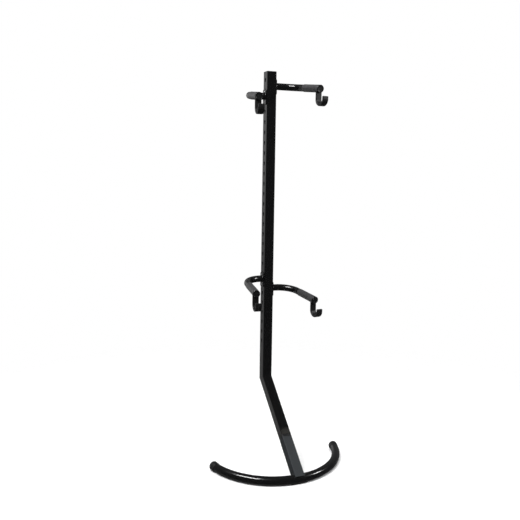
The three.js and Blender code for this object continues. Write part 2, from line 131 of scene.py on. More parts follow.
# Fasteners
BOLT_RADIUS = 4.0
BOLT_HEAD_RADIUS = 7.0
BOLT_HEAD_HEIGHT = 4.2
BOLT_SOCKET = 5.0  # across the flats
BOLT_SOCKET_DEPTH = 2.6
NUT_FLATS = 13.0
NUT_HEIGHT = 6.5
LINER_WALL = 2.5
POST_BOLT_SPACING = 80.0
LEG_BOLT_SPACING = 100.0
SCREW_RADIUS = 2.0
SCREW_LENGTH = 16.0
SCREW_HEAD_RADIUS = 4.4
SCREW_HEAD_HEIGHT = 2.6
SCREW_RECESS_FLATS = 2.6

# Wall buffers
BUFFER_SIZE = 34.0
BUFFER_CORNER = 6.0
BUFFER_THICKNESS = 8.0
BUFFER_EDGE = 1.5
SCREW_SEAT = 3.0
BUFFER_HEIGHTS = {"upper": POST_TOP - 118.0, "lower": MITRE_HEIGHT + 110.0}

# Welds, each with the radius of its bead
MITRE_BEAD = 1.1
STUB_SIDE_BEAD = 2.2
STUB_END_BEAD = 1.6
ROOT_BEAD = 1.7
WELD_PITCH = 3.2  # from one ripple of the bead to the next
WELD_STEP = 0.8
WELD_HEIGHT = 0.7  # share of the bead's radius

# Smoothness
ROUND_STEPS = 64
FINE_STEPS = 48

# Worked out
POST_Y = sum(corner.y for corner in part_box("post_upper")) / 2 / MM
LEG_RISE = MITRE_HEIGHT - BASE_HEIGHT
LEG_LENGTH = math.hypot(LEG_RISE, BASE_REACH)
LEG_ANGLE = math.atan2(BASE_REACH, LEG_RISE)
MITRE_SLOPE = math.tan(LEG_ANGLE / 2)
LEG_START = STUB_LENGTH + BAND_LENGTH
BAND_MIDDLE = STUB_LENGTH + BAND_LENGTH / 2
JOINT_HEIGHT = TOP_KEYHOLE - (KEYHOLES_ABOVE_JOINT - 0.5) * KEYHOLE_PITCH - SLOT_DROP / 2
ARC_CENTRE_Y = POST_Y + BASE_RADIUS - BASE_REACH

X_AXIS, Z_AXIS = Vector((1, 0, 0)), Vector((0, 0, 1))

AT_POST = Matrix.Translation((0, POST_Y, 0))
LEG_PLACE = Matrix.Translation((0, POST_Y - BASE_REACH, BASE_HEIGHT)) @ Matrix.Rotation(
    -LEG_ANGLE, 4, "X"
)


# Camera, at the photograph's viewing angle


def aim_camera():
    """The eye of the photograph: a focal length in pixels of a 520-pixel frame, and a place
    and three turns in the frame, the turns in radians."""
    focal_pixels, frame_pixels, sensor = 639.1, 520.0, 36.0
    yaw, pitch, roll = 0.3991, 0.1411, 0.0142
    eye = Vector((-1299.3, -2984.9 + POST_Y, 1479.5)) * MM
    forward = Vector(
        (math.sin(yaw) * math.cos(pitch), math.cos(yaw) * math.cos(pitch), -math.sin(pitch))
    )
    level = Vector((math.cos(yaw), -math.sin(yaw), 0))
    above = level.cross(forward)
    right = level * math.cos(roll) + above * math.sin(roll)
    up = above * math.cos(roll) - level * math.sin(roll)
    data = bpy.data.cameras.new("studio_camera")
    data.sensor_width = sensor
    data.lens = sensor * focal_pixels / frame_pixels
    data.clip_start, data.clip_end = 0.05, 100
    camera = bpy.data.objects.new("studio_camera", data)
    camera.matrix_world = Matrix.Translation(eye) @ Matrix((right, up, -forward)).transposed().to_4x4()
    bpy.context.scene.collection.objects.link(camera)
    bpy.context.scene.camera = camera


aim_camera()


# Mesh code. Every builder works in millimetres and is put in place by a matrix.


def new_piece(name, vertices, faces, place=None):
    place = place or Matrix()
    mesh = bpy.data.meshes.new(name)
    mesh.from_pydata([(place @ v) * MM for v in vertices], [], faces)
    shape = bmesh.new()
    shape.from_mesh(mesh)
    bmesh.ops.remove_doubles(shape, verts=shape.verts, dist=2e-6)
    bmesh.ops.recalc_face_normals(shape, faces=shape.faces)
    shape.to_mesh(mesh)
    shape.free()
    made = bpy.data.objects.new(name, mesh)
    bpy.context.scene.collection.objects.link(made)
    return made


def loft(rings, ends="capped"):
    """Faces between rings of as many points each. A ring of one repeated point closes to a tip;
    "looped" joins the last ring to the first, "capped" closes both ends, "open" neither."""
    size = len(rings[0])
    vertices = [v for ring in rings for v in ring]
    count = len(rings)
    steps = count if ends == "looped" else count - 1
    faces = []
    for i in range(steps):
        here, there = i * size, (i + 1) % count * size
        for j in range(size):
            k = (j + 1) % size
            faces.append((here + j, here + k, there + k, there + j))
    if ends == "capped":
        for ring, start in ((rings[0], 0), (rings[-1], (count - 1) * size)):
            if (ring[0] - ring[size // 2]).length > MM:
                faces.append(tuple(range(start, start + size)))
    return vertices, faces


def circle(radius, steps=ROUND_STEPS):
    turn = 2 * math.pi / steps
    return [(radius * math.cos(i * turn), radius * math.sin(i * turn)) for i in range(steps)]


def hexagon(flats, steps=FINE_STEPS):
    """As many points as a circle has, so that a round ring lofts to it."""
    points = []
    for i in range(steps):
        angle = 2 * math.pi * i / steps
        off = (angle + math.pi / 6) % (math.pi / 3) - math.pi / 6
        reach = flats / 2 / math.cos(off)
        points.append((reach * math.cos(angle), reach * math.sin(angle)))
    return points


def rounded_rectangle(width, height, corner, steps=CORNER_STEPS):
    points = []
    for quarter, (sx, sy) in enumerate(((1, 1), (-1, 1), (-1, -1), (1, -1))):
        cx, cy = sx * (width / 2 - corner), sy * (height / 2 - corner)
        for i in range(steps + 1):
            angle = (quarter + i / steps) * math.pi / 2
            points.append((cx + corner * math.cos(angle), cy + corner * math.sin(angle)))
    return points


def level_ring(points, z):
    return [Vector((x, y, z)) for x, y in points]


def ring_across(points, at, side, up):
    return [at + side * x + up * y for x, y in points]


def turned(profile, ends="capped"):
    """A profile of (radius or outline, height), turned or lofted about Z."""
    rings = []
    for shape, z in profile:
        points = shape if isinstance(shape, list) else circle(shape, FINE_STEPS)
        rings.append(level_ring(points, z))
    return loft(rings, ends)


def along_y(profile):
    """Round rings about Y for a profile of (radius, Y)."""
    return [[Vector((x, y, z)) for x, z in circle(radius)] for radius, y in profile]


def finished_mesh(piece):
    """Applies the piece's modifiers."""
    bpy.context.view_layer.update()
    graph = bpy.context.evaluated_depsgraph_get()
    mesh = bpy.data.meshes.new_from_object(piece.evaluated_get(graph))
    piece.modifiers.clear()
    old, piece.data = piece.data, mesh
    mesh.name = piece.name
    bpy.data.meshes.remove(old)
    return piece


def cut(piece, *cutters):
    for cutter in cutters:
        step = piece.modifiers.new("cut", "BOOLEAN")
        step.operation, step.solver, step.object = "DIFFERENCE", "EXACT", cutter
    finished_mesh(piece)
    for cutter in cutters:
        mesh = cutter.data
        bpy.data.objects.remove(cutter)
        bpy.data.meshes.remove(mesh)
    return piece


def soften(piece, width, steps=2, angle=40):
    """Rounds the sharp edges by a width in millimetres."""
    edge = piece.modifiers.new("edge", "BEVEL")
    edge.width, edge.segments = width * MM, steps
    edge.limit_method, edge.angle_limit = "ANGLE", math.radians(angle)
    edge.harden_normals = False
    return finished_mesh(piece)


def shade(piece, angle=35):
    """Smooth shading, with edges over that many degrees left sharp."""
    mesh = piece.data
    mesh.polygons.foreach_set("use_smooth", [True] * len(mesh.polygons))
    mesh.set_sharp_from_angle(angle=math.radians(angle))
    even = piece.modifiers.new("even_faces", "WEIGHTED_NORMAL")
    even.keep_sharp, even.weight = True, 80
    return piece


# Materials


def linear(hex_colour):
    """An sRGB hex colour as linear red, green, blue and full alpha."""
    channels = [int(hex_colour[i : i + 2], 16) / 255 for i in (1, 3, 5)]
    curve = [c / 12.92 if c <= 0.04045 else ((c + 0.055) / 1.055) ** 2.4 for c in channels]
    return (*curve, 1.0)


def per_mm(size):
    """A texture scale that gives features of that size in millimetres."""
    return 1 / (size * MM)


def add(tree, kind, inputs=None, **settings):
    """A node with its settings, and each input a value or the output that it is linked to."""
    made = tree.nodes.new(kind)
    for name, value in settings.items():
        setattr(made, name, value)
    for key, value in (inputs or {}).items():
        if isinstance(value, bpy.types.NodeSocket):
            tree.links.new(value, made.inputs[key])
        else:
            made.inputs[key].default_value = value
    return made


MIX_A, MIX_B, MIX_COLOUR = 6, 7, 2  # sockets of a colour mix


def new_material(name):
    material = bpy.data.materials.new(name)
    material.use_nodes = True
    tree = material.node_tree
    tree.nodes.clear()
    place = add(tree, "ShaderNodeTexCoord").outputs["Object"]
    return material, tree, place


def finish_material(tree, shader, normal=None):
    if normal is not None:
        tree.links.new(normal, shader.inputs["Normal"])
    add(tree, "ShaderNodeOutputMaterial", {"Surface": shader.outputs["BSDF"]})


def worn_edges(tree, place, width, patch_size):
    """From 0 to 1 along sharp edges, as wide as the wear, and broken up in patches."""
    rounded = add(tree, "ShaderNodeBevel", {"Radius": width * MM}, samples=4)
    likeness = add(
        tree,
        "ShaderNodeVectorMath",
        {0: rounded.outputs["Normal"], 1: add(tree, "ShaderNodeNewGeometry").outputs["Normal"]},
        operation="DOT_PRODUCT",
    )
    edge = add(
        tree,
        "ShaderNodeMapRange",
        {"Value": likeness.outputs["Value"], "From Min": 0.97, "From Max": 0.8},
    )
    patches = add(
        tree, "ShaderNodeTexNoise", {"Vector": place, "Scale": per_mm(patch_size), "Detail": 3.0}
    )
    rubbed = add(
        tree,
        "ShaderNodeMapRange",
        {"Value": patches.outputs["Fac"], "From Min": 0.4, "From Max": 0.62},
        interpolation_type="SMOOTHSTEP",
    )
    return add(
        tree,
        "ShaderNodeMath",
        {0: edge.outputs["Result"], 1: rubbed.outputs["Result"]},
        operation="MULTIPLY",
    ).outputs["Value"]


def scuffs(tree, place, point):
    """1 close to a point, falling off to 0 a hand's width away."""
    away = add(tree, "ShaderNodeVectorMath", {0: place, 1: point * MM}, operation="DISTANCE")
    share = add(
        tree,
        "ShaderNodeMapRange",
        {
            "Value": away.outputs["Value"],
            "From Min": SCUFF_NEAR * MM,
            "From Max": SCUFF_FAR * MM,
            "To Min": 1.0,
            "To Max": 0.0,
        },
        interpolation_type="SMOOTHSTEP",
    )
    return share.outputs["Result"]


def powder_coat(
    name,
    colour,
    worn_colour,
    dust_colour,
    dust,
    roughness,
    peel_size,
    peel_depth,
    coat,
    shine,
    scuffed_at=None,
):
    """Powder coat baked on steel: a skin of resin with the faint ripple of orange peel, a bloom
    of dust on what faces up, soft patches where hands have polished or dulled it, and edges
    rubbed pale."""
    material, tree, place = new_material(name)
    patches = add(
        tree, "ShaderNodeTexNoise", {"Vector": place, "Scale": per_mm(70), "Detail": 4.0}
    )
    peel = add(
        tree,
        "ShaderNodeTexNoise",
        {"Vector": place, "Scale": per_mm(peel_size), "Detail": 2.0, "Roughness": 0.45},
    )
    specks = add(
        tree, "ShaderNodeTexNoise", {"Vector": place, "Scale": per_mm(2.2), "Detail": 3.0}
    )
    facing = add(
        tree,
        "ShaderNodeSeparateXYZ",
        {"Vector": add(tree, "ShaderNodeNewGeometry").outputs["Normal"]},
    )
    lying = add(
        tree,
        "ShaderNodeMapRange",
        {"Value": facing.outputs["Z"], "From Min": 0.15, "From Max": 1.0, "To Max": dust},
        interpolation_type="SMOOTHSTEP",
    )
    scattered = add(
        tree,
        "ShaderNodeMath",
        {0: lying.outputs["Result"], 1: specks.outputs["Fac"]},
        operation="MULTIPLY",
    )
    dusty = add(
        tree,
        "ShaderNodeMix",
        {
            "Factor": scattered.outputs["Value"],
            MIX_A: linear(colour),
            MIX_B: linear(dust_colour),
        },
        data_type="RGBA",
    )
    worn = worn_edges(tree, place, 1.2, 9)
    tint = add(
        tree,
        "ShaderNodeMix",
        {
            "Factor": worn,
            MIX_A: dusty.outputs[MIX_COLOUR],
            MIX_B: linear(worn_colour),
        },
        data_type="RGBA",
    )
    patchy = add(
        tree,
        "ShaderNodeMapRange",
        {
            "Value": patches.outputs["Fac"],
            "From Min": 0.3,
            "From Max": 0.7,
            "To Min": roughness[0],
            "To Max": roughness[1],
        },
    )
    dullness = add(
        tree,
        "ShaderNodeMath",
        {0: worn, 1: 0.15, 2: patchy.outputs["Result"]},
        operation="MULTIPLY_ADD",
    )
    skin = add(
        tree,
        "ShaderNodeBump",
        {"Strength": 0.35, "Distance": peel_depth * MM, "Height": peel.outputs["Fac"]},
    )
    base, dull = tint.outputs[MIX_COLOUR], dullness.outputs["Value"]
    if scuffed_at is not None:
        scuffed = scuffs(tree, place, scuffed_at)
        greyed = add(
            tree,
            "ShaderNodeMix",
            {"Factor": scuffed, MIX_A: base, MIX_B: linear(SCUFF_COLOUR)},
            data_type="RGBA",
        )
        roughened = add(
            tree,
            "ShaderNodeMapRange",
            {"Value": scuffed, "To Min": dull, "To Max": SCUFF_ROUGHNESS},
        )
        thinned = add(tree, "ShaderNodeMapRange", {"Value": scuffed, "To Min": coat, "To Max": 0.0})
        base, dull, coat = greyed.outputs[MIX_COLOUR], roughened.outputs[0], thinned.outputs[0]
    shader = add(
        tree,
        "ShaderNodeBsdfPrincipled",
        {
            "Base Color": base,
            "Roughness": dull,
            "IOR": 1.5,
            "Specular IOR Level": shine,
            "Coat Weight": coat,
            "Coat Roughness": 0.06,
        },
    )
    finish_material(tree, shader, skin.outputs["Normal"])
    return material


# Gloss black polyester powder coat on steel tube. Its orange peel is about 2 mm across, drawn
# 5 mm across so that it shows.
GLOSS_BLACK = {
    "colour": "#080809",
    "worn_colour": "#2e2f31",
    "dust_colour": "#5c5a56",
    "dust": 0.03,
    "roughness": (0.15, 0.24),
    "peel_size": 5.0,
    "peel_depth": 0.05,
    "coat": 0.5,
    "shine": 0.5,
}
gloss_black_coat = powder_coat("gloss_black_powder_coat", **GLOSS_BLACK)

# The same coat on the leg, rubbed dull and brownish where the leg slides into its joint. It
# gives the soft pale patch above the band.
SCUFF_COLOUR = "#2b2a27"
SCUFF_ROUGHNESS = 0.37
SCUFF_NEAR, SCUFF_FAR = 27.0, 50.0
scuffed_black_coat = powder_coat(
    "scuffed_black_powder_coat", **GLOSS_BLACK, scuffed_at=LEG_PLACE @ Vector((0, 0, LEG_START))
)

# Satin charcoal powder coat, with a fine tooth that spreads the light and reads greyer.
satin_black_coat = powder_coat(
    "satin_charcoal_powder_coat",
    colour="#25282b",
    worn_colour="#45484b",
    dust_colour="#77756f",
    dust=0.08,
    roughness=(0.42, 0.52),
    peel_size=3.0,
    peel_depth=0.06,
    coat=0.0,
    shine=0.22,
)


def rubber(name, colour, worn_colour, gloss_low, gloss_high, grain_size, grain_depth, sheen):
    """Moulded or extruded rubber: dull, a little paler where it has rubbed, with a pebbled skin."""
    material, tree, place = new_material(name)
    rubbed = add(
        tree, "ShaderNodeTexNoise", {"Vector": place, "Scale": per_mm(22), "Detail": 5.0}
    )
    grain = add(
        tree,
        "ShaderNodeTexVoronoi",
        {"Vector": place, "Scale": per_mm(grain_size)},
        feature="SMOOTH_F1",
    )
    share = add(
        tree,
        "ShaderNodeMapRange",
        {"Value": rubbed.outputs["Fac"], "From Min": 0.42, "From Max": 0.75, "To Max": 0.7},
        interpolation_type="SMOOTHSTEP",
    )
    pale = add(
        tree,
        "ShaderNodeMath",
        {0: share.outputs["Result"], 1: worn_edges(tree, place, 1.0, 6)},
        operation="MAXIMUM",
    )
    tint = add(
        tree,
        "ShaderNodeMix",
        {
            "Factor": pale.outputs["Value"],
            MIX_A: linear(colour),
            MIX_B: linear(worn_colour),
        },
        data_type="RGBA",
    )
    dullness = add(
        tree,
        "ShaderNodeMapRange",
        {
            "Value": rubbed.outputs["Fac"],
            "From Min": 0.3,
            "From Max": 0.7,
            "To Min": gloss_high,
            "To Max": gloss_low,
        },
    )
    skin = add(
        tree,
        "ShaderNodeBump",
        {"Strength": 0.5, "Distance": grain_depth * MM, "Height": grain.outputs["Distance"]},
    )
    shader = add(
        tree,
        "ShaderNodeBsdfPrincipled",
        {
            "Base Color": tint.outputs[MIX_COLOUR],
            "Roughness": dullness.outputs["Result"],
            "IOR": 1.52,
            "Sheen Weight": sheen,
            "Sheen Roughness": 0.5,
        },
    )
    finish_material(tree, shader, skin.outputs["Normal"])
    return material


# Extruded grey EPDM sleeve, matt and very finely pebbled. The pebbles are half a millimetre,
# drawn 1.6 mm across so that they show.
grey_sleeve_rubber = rubber(
    "extruded_grey_rubber", "#29292a", "#3b3b3d", 0.35, 0.46, 1.6, 0.08, 0.08
)

# Black nitrile rubber dipped or moulded over steel, darker and a little smoother.
black_rubber = rubber("moulded_black_rubber", "#0e0e0f", "#19191a", 0.38, 0.54, 1.8, 0.05, 0.02)


def moulded_plastic(name, colour, worn_colour, gloss, grain_depth):
    """Injection-moulded ABS: an even colour, a fine spark-eroded grain from the mould, and a
    paler scuff along its edges."""
    material, tree, place = new_material(name)
    grain = add(
        tree, "ShaderNodeTexNoise", {"Vector": place, "Scale": per_mm(1.4), "Detail": 6.0}
    )
    flow = add(
        tree, "ShaderNodeTexNoise", {"Vector": place, "Scale": per_mm(26), "Detail": 2.0}
    )
    even = add(
        tree,
        "ShaderNodeHueSaturation",
        {
            "Color": linear(colour),
            "Value": add(
                tree,
                "ShaderNodeMapRange",
                {"Value": flow.outputs["Fac"], "To Min": 0.85, "To Max": 1.2},
            ).outputs["Result"],
        },
    )
    tint = add(
        tree,
        "ShaderNodeMix",
        {
            "Factor": worn_edges(tree, place, 0.6, 5),
            MIX_A: even.outputs["Color"],
            MIX_B: linear(worn_colour),
        },
        data_type="RGBA",
    )
    dullness = add(
        tree,
        "ShaderNodeMapRange",
        {"Value": grain.outputs["Fac"], "To Min": gloss - 0.06, "To Max": gloss + 0.08},
    )
    skin = add(
        tree,
        "ShaderNodeBump",
        {"Strength": 0.4, "Distance": grain_depth * MM, "Height": grain.outputs["Fac"]},
    )
    shader = add(
        tree,
        "ShaderNodeBsdfPrincipled",
        {
            "Base Color": tint.outputs[MIX_COLOUR],
            "Roughness": dullness.outputs["Result"],
            "IOR": 1.54,
        },
    )
    finish_material(tree, shader, skin.outputs["Normal"])
    return material


# Black ABS of the caps of the post and the arms, with a soft gloss. On the band's low rims it is
# painted shade, standing in for the shadow in their recesses.
black_plastic = moulded_plastic("moulded_black_abs", "#0f0f10", "#2a2a2b", 0.31, 0.03)

# Dark grey ABS of the leg's band and of the dished faces of the end caps, a little paler than the
# black rims of the caps and than the painted shade on the band's rims.
dark_plastic = moulded_plastic("moulded_dark_grey_abs", "#161718", "#303132", 0.36, 0.03)


def plated_zinc():
    """Bright zinc plate on steel: bluish white metal, clouded where the bath left it duller."""
    material, tree, place = new_material("bright_zinc_plate")
    clouds = add(
        tree, "ShaderNodeTexNoise", {"Vector": place, "Scale": per_mm(5), "Detail": 5.0}
    )
    tint = add(
        tree,
        "ShaderNodeMix",
        {
            "Factor": clouds.outputs["Fac"],
            MIX_A: linear("#a9adb3"),
            MIX_B: linear("#d2d3cf"),
        },
        data_type="RGBA",
    )
    dullness = add(
        tree,
        "ShaderNodeMapRange",
        {"Value": clouds.outputs["Fac"], "To Min": 0.2, "To Max": 0.45},
    )
    shader = add(
        tree,
        "ShaderNodeBsdfPrincipled",
        {
            "Base Color": tint.outputs[MIX_COLOUR],
            "Roughness": dullness.outputs["Result"],
            "Metallic": 1.0,
        },
    )
    finish_material(tree, shader)
    return material


zinc = plated_zinc()


def place_piece(piece, material, body, *nodes):
    """Gives a piece its finish and the body that it rides on, in place of the named nodes."""
    piece.data.materials.clear()
    piece.data.materials.append(material)
    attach(piece, body)
    if nodes:
        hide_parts(*nodes)
    return piece


def finish_node(name, material):
    """A CAD node that is shown as it is, with its finish."""
    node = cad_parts[name]
    node.data.materials.clear()
    node.data.materials.append(material)


# Welds


def weld_bead(name, path, outward, radius, place, body, closed=False):
    """A rippled bead along a path of points; outward gives the direction away from the seam."""
    lengths = [0.0]
    for a, b in zip(path, path[1:]):
        lengths.append(lengths[-1] + (b - a).length)
    count = max(8, round(lengths[-1] / WELD_STEP))
    rings = []
    steps = 12
    for i in range(count if closed else count + 1):
        along = lengths[-1] * i / count
        k = max(j for j in range(len(lengths) - 1) if lengths[j] <= along + 1e-9)
        share = (along - lengths[k]) / max(lengths[k + 1] - lengths[k], 1e-9)
        at = path[k].lerp(path[k + 1], share)
        tangent = (path[k + 1] - path[k]).normalized()
        up = outward(at)
        up = (up - tangent * up.dot(tangent)).normalized()
        side = tangent.cross(up)
        size = radius * (1 + 0.1 * math.sin(2 * math.pi * along / WELD_PITCH))
        if not closed:
            size *= math.sqrt(max(0.05, min(1.0, min(along, lengths[-1] - along) / radius)))
        lean = tangent * 0.35
        ring = []
        for x, y in circle(size, steps):
            ring.append(at + side * x + up * (WELD_HEIGHT * y) + lean * max(0.0, y))
        rings.append(ring)
    piece = new_piece(name, *loft(rings, "looped" if closed else "capped"), place)
    return place_piece(shade(piece, 60), gloss_black_coat, body)


# Square tube


def square_tube(name, low, high, place, slope_low=0.0, slope_high=0.0):
    """A straight length, its ends cut across at a slope over Y."""
    outside = rounded_rectangle(POST_WIDTH, POST_WIDTH, POST_CORNER)
    bore = POST_WIDTH - 2 * POST_WALL
    inside = rounded_rectangle(bore, bore, POST_CORNER - POST_WALL)
    rings = []
    for points, ends in ((outside, (low, high)), (inside, (high, low))):
        for z in ends:
            slope = slope_low if z == low else slope_high
            rings.append([Vector((x, y, z + slope * y)) for x, y in points])
    return new_piece(name, *loft(rings, "looped"), place)


def wall_bore(radius, z, place):
    """Cuts a round hole through the tube's wall on the +Y side."""
    ends = (0.0, POST_HALF + CUT_PAST)
    rings = [[Vector((x, y, z + h)) for x, h in circle(radius, 32)] for y in ends]
    return new_piece("cutter", *loft(rings), place)


def keyhole_outline(steps=28):
    """A round entry, and below it the seat of a stud."""
    meet = math.asin(SLOT_RADIUS / ENTRY_RADIUS)
    down = -math.pi / 2
    sweep = 2 * (math.pi - meet)
    points = []
    for i in range(steps + 1):
        angle = down + meet + sweep * i / steps
        points.append((ENTRY_RADIUS * math.cos(angle), ENTRY_RADIUS * math.sin(angle)))
    for i in range(15):
        angle = -math.pi + math.pi * i / 14
        points.append((SLOT_RADIUS * math.cos(angle), -SLOT_DROP + SLOT_RADIUS * math.sin(angle)))
    return points


def keyhole_cutter(first, last):
    """All the keyholes of one post, right through both sides, as one cutter."""
    vertices, faces = [], []
    for i in range(first, last + 1):
        height = TOP_KEYHOLE - i * KEYHOLE_PITCH
        rings = [
            [Vector((x, y, z + height)) for y, z in keyhole_outline()]
            for x in (-POST_HALF - CUT_PAST, POST_HALF + CUT_PAST)
        ]
        more, between = loft(rings)
        start = len(vertices)
        vertices += more
        faces += [tuple(start + v for v in face) for face in between]
    return new_piece("cutter", vertices, faces, AT_POST)


def make_post():
    bolts = [JOINT_HEIGHT + end * POST_BOLT_SPACING / 2 for end in (-1, 1)]
    foot = MITRE_HEIGHT + GAP / 2
    lower = square_tube("post_lower_coated", foot, JOINT_HEIGHT - GAP / 2, AT_POST, -MITRE_SLOPE)
    cut(
        lower,
        keyhole_cutter(KEYHOLES_ABOVE_JOINT, KEYHOLE_COUNT - 1),
        wall_bore(BOLT_RADIUS + GAP, bolts[0], AT_POST),
        wall_bore(SCREW_RADIUS + GAP, BUFFER_HEIGHTS["lower"], AT_POST),
    )
    upper = square_tube("post_upper_coated", JOINT_HEIGHT + GAP / 2, POST_TOP, AT_POST)
    cut(
        upper,
        keyhole_cutter(0, KEYHOLES_ABOVE_JOINT - 1),
        wall_bore(BOLT_RADIUS + GAP, bolts[1], AT_POST),
        wall_bore(SCREW_RADIUS + GAP, BUFFER_HEIGHTS["upper"], AT_POST),
    )
    for piece, node in ((lower, "post_lower"), (upper, "post_upper")):
        place_piece(shade(soften(piece, CUT_EDGE)), gloss_black_coat, "stand", node)


def make_post_cap():
    """A moulded cap with rounded edges, slightly crowned, and its hollow plug in the post."""
    rings = []
    plug = POST_WIDTH - 2 * POST_WALL - 2 * GAP
    bore = plug - 4.8
    corner = POST_CORNER - POST_WALL + 1.2
    rings.append(level_ring(rounded_rectangle(bore, bore, 1.6), CAP_PLATE / 2))
    rings.append(level_ring(rounded_rectangle(bore, bore, 1.6), -CAP_PLUG))
    rings.append(level_ring(rounded_rectangle(plug - 1, plug - 1, corner), -CAP_PLUG))
    rings.append(level_ring(rounded_rectangle(plug, plug, corner), -CAP_PLUG + 0.8))
    rings.append(level_ring(rounded_rectangle(plug, plug, corner), GAP))
    for i in range(7):
        angle = i / 6 * math.pi / 2
        inset = CAP_EDGE * (1 - math.cos(angle))
        width = POST_WIDTH - 2 * inset
        z = CAP_PLATE - 0.5 - CAP_EDGE * (1 - math.sin(angle))
        if i == 0:
            rings.append(level_ring(rounded_rectangle(width, width, POST_CORNER), GAP))
        rings.append(level_ring(rounded_rectangle(width, width, POST_CORNER - inset / 2), z))
    for share, rise in ((0.7, 0.25), (0.4, 0.42), (0.12, 0.5)):
        width = (POST_WIDTH - 2 * CAP_EDGE) * share
        rings.append(level_ring(rounded_rectangle(width, width, 2 * share), CAP_PLATE - 0.5 + rise))
    place = Matrix.Translation((0, POST_Y, POST_TOP))
    piece = new_piece("post_cap_moulded", *loft(rings), place)
    place_piece(shade(piece, 30), black_plastic, "stand", "post_cap")


# Leg


def arc_point(angle):
    """On the floor tube's centre line; 0 is its middle, in front."""
    y = ARC_CENTRE_Y - BASE_RADIUS * math.cos(angle)
    return Vector((BASE_RADIUS * math.sin(angle), y, BASE_HEIGHT))


def arc_ring(points, angle):
    """A ring of (out from the arc's centre, up) points on the arc at that angle."""
    outwards = Vector((math.sin(angle), -math.cos(angle), 0))
    return ring_across(points, arc_point(angle), outwards, Z_AXIS)


def arc_clearance(half_angle, radius):
    rings = []
    for i in range(25):
        angle = half_angle * (2 * i / 24 - 1)
        rings.append(arc_ring(circle(radius), angle))
    return new_piece("cutter", *loft(rings))


def make_leg():
    bolts = [BAND_MIDDLE + end * LEG_BOLT_SPACING / 2 for end in (-1, 1)]
    stub = square_tube("leg_stub_coated", 0, STUB_LENGTH, LEG_PLACE)
    clearance = arc_clearance(math.radians(10), BASE_TUBE_RADIUS + GAP)
    cut(stub, clearance, wall_bore(BOLT_RADIUS + GAP, bolts[0], LEG_PLACE))
    place_piece(shade(soften(stub, CUT_EDGE)), satin_black_coat, "stand", "leg_stub")

    tube = square_tube(
        "leg_tube_coated", LEG_START, LEG_LENGTH - GAP / 2, LEG_PLACE, 0, MITRE_SLOPE
    )
    cut(tube, wall_bore(BOLT_RADIUS + GAP, bolts[1], LEG_PLACE))
    place_piece(shade(soften(tube, CUT_EDGE)), scuffed_black_coat, "stand", "leg_tube")

    # The band is raised in its middle, and its low rims are coloured black as painted shade, so they
    # show as two dark lines
    low, high = STUB_LENGTH + GAP, LEG_START - GAP
    bore = POST_WIDTH - 2 * POST_WALL
    rim_depth = POST_WALL - 0.25
    rings = []
    for inset, z in (
        (rim_depth, low),
        (rim_depth, low + BAND_RIM),
        (0.25, low + BAND_RIM + 0.5),
        (0, low + BAND_RIM + 1.1),
        (0, high - BAND_RIM - 1.1),
        (0.25, high - BAND_RIM - 0.5),
        (rim_depth, high - BAND_RIM),
        (rim_depth, high),
    ):
        width = POST_WIDTH - 2 * inset
        rings.append(level_ring(rounded_rectangle(width, width, POST_CORNER - inset), z))
    for z in (high, low):
        rings.append(level_ring(rounded_rectangle(bore, bore, POST_CORNER - POST_WALL), z))
    band = new_piece("leg_band_moulded", *loft(rings, "looped"), LEG_PLACE)
    place_piece(shade(band, 25), dark_plastic, "stand", "leg_band")
    # Painted shade: the faces of the low rims take the black plastic, darkening the recesses where
    # shade falls, over the band's own dark grey
    band.data.materials.append(black_plastic)
    to_band = LEG_PLACE.inverted()
    for polygon in band.data.polygons:
        along = (to_band @ (polygon.center / MM)).z - BAND_MIDDLE
        if abs(along) > (high - low) / 2 - BAND_RIM:
            polygon.material_index = 1

    # The seam of the leg and the post, welded all round and ground low
    outline = rounded_rectangle(POST_WIDTH - 0.8, POST_WIDTH - 0.8, POST_CORNER)
    path = [Vector((x, y, MITRE_HEIGHT - MITRE_SLOPE * y)) for x, y in outline]
    path.append(path[0])
    weld_bead(
        "mitre_weld", path, lambda at: Vector((at.x, at.y, 0)), MITRE_BEAD, AT_POST, "stand", True
    )

    # The stub sits astride the floor tube, with a bead up and over each side
    for side, word in ((-1, "left"), (1, "right")):
        seam = []
        for i in range(49):
            angle = math.pi * i / 48
            reach = BASE_TUBE_RADIUS + 0.9
            seam.append(
                Vector((side * (POST_HALF + 0.3), -reach * math.cos(angle), reach * math.sin(angle)))
            )
        weld_bead(
            f"stub_weld_{word}",
            seam,
            lambda at, side=side: Vector((side, at.y * 0.04, at.z * 0.04)),
            STUB_SIDE_BEAD,
            LEG_PLACE,
            "stand",
        )
    for side, word in ((-1, "front"), (1, "back")):
        y = side * (POST_HALF - 0.6)
        seam = [Vector((x, y, 0)) for x in (-POST_HALF + 1, 0, POST_HALF - 1)]
        weld_bead(
            f"stub_weld_{word}",
            seam,
            lambda at, side=side: Vector((0, side * 0.5, -1)),
            STUB_END_BEAD,
            LEG_PLACE,
            "stand",
        )


# Floor tube


def make_floor_tube():
    rings = []
    steps = 150
    bore = BASE_TUBE_RADIUS - BASE_TUBE_WALL
    for i in range(steps + 1):
        angle = BASE_HALF_ANGLE * (2 * i / steps - 1)
        rings.append(arc_ring(circle(BASE_TUBE_RADIUS), angle))
    for i in range(steps, -1, -5):
        angle = BASE_HALF_ANGLE * (2 * i / steps - 1)
        rings.append(arc_ring(circle(bore), angle))
    tube = new_piece("base_tube_coated", *loft(rings, "looped"))
    place_piece(shade(tube), gloss_black_coat, "stand", "base_tube")


